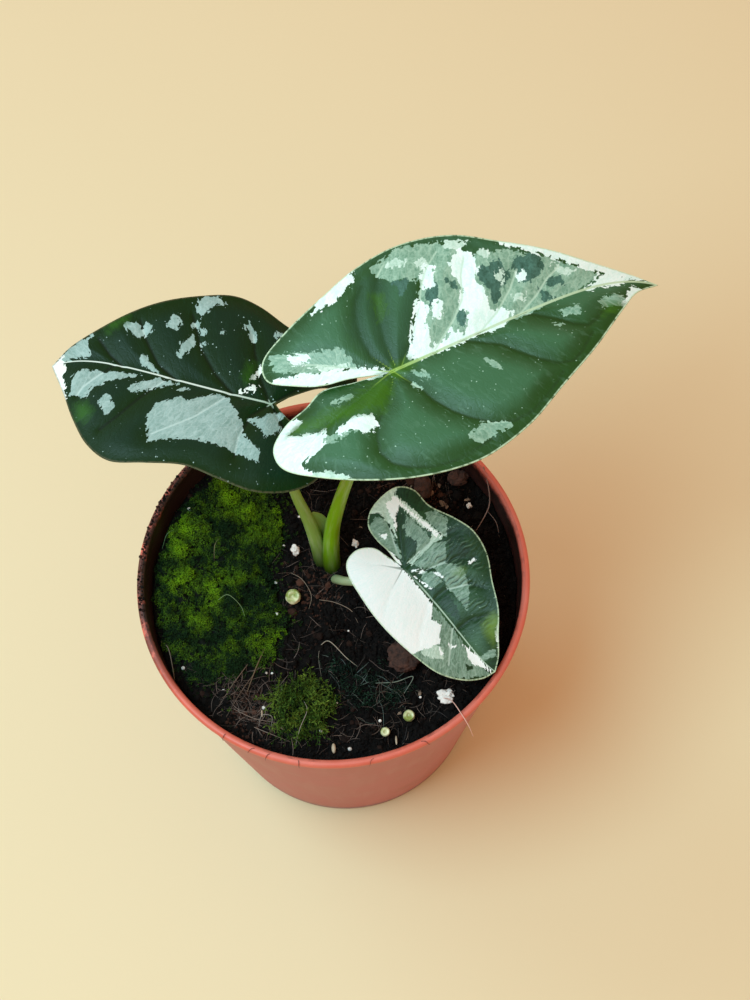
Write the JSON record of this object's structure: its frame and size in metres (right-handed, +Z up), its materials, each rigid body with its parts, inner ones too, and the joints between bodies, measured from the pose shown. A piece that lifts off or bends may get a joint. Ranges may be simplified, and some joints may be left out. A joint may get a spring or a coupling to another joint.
{
  "type": "potted frydek alocasia",
  "caption": "Young potted alocasia: variegated arrow-shaped leaves on slim stems, growing from mossy soil in a tapered round plastic nursery pot that stands free.",
  "frame": {"origin": "centre of the pot's foot, on the surface the pot stands on", "axes": "+Z up, +X to the right and +Y away from the viewer, as in the picture"},
  "size_m": [0.1435, 0.1033, 0.1688],
  "materials": {
    "pot_plastic": "terracotta-coloured moulded plastic, dusty body and brighter rim",
    "peat": "damp black-brown peat crumb with fibres",
    "moss": "low living moss, bright to dark green",
    "root": "brown corm with pale roots",
    "stem_green": "smooth fleshy stem, waxy, lime green",
    "stem_pale": "smooth fleshy stem, pale green-white",
    "leaf_green": "velvety green leaf with white and silver-green patches",
    "leaf_dark": "velvety blackish-green leaf with silver patches and a white midrib",
    "leaf_half_white": "velvety leaf, one half white and the other silver and dark green",
    "bark": "rough dry bark",
    "perlite": "white expanded mineral grain",
    "feed_bead": "pale yellow-green coated bead"
  },
  "bodies": {
    "root": {"pot": "pot_plastic", "soil": "peat", "moss_mat": "moss", "moss_tuft": "moss", "rootstock": "root", "petiole_a": "stem_green", "petiole_b": "stem_green", "petiole_c": "stem_pale", "blade_a": "leaf_green", "blade_b": "leaf_dark", "blade_c": "leaf_half_white", "bark_chip_1": "bark", "bark_chip_2": "bark", "bark_chip_3": "bark", "perlite_1": "perlite", "perlite_2": "perlite", "perlite_3": "perlite", "perlite_4": "perlite", "feed_bead_1": "feed_bead", "feed_bead_2": "feed_bead", "feed_bead_3": "feed_bead"}
  },
  "joints": []
}
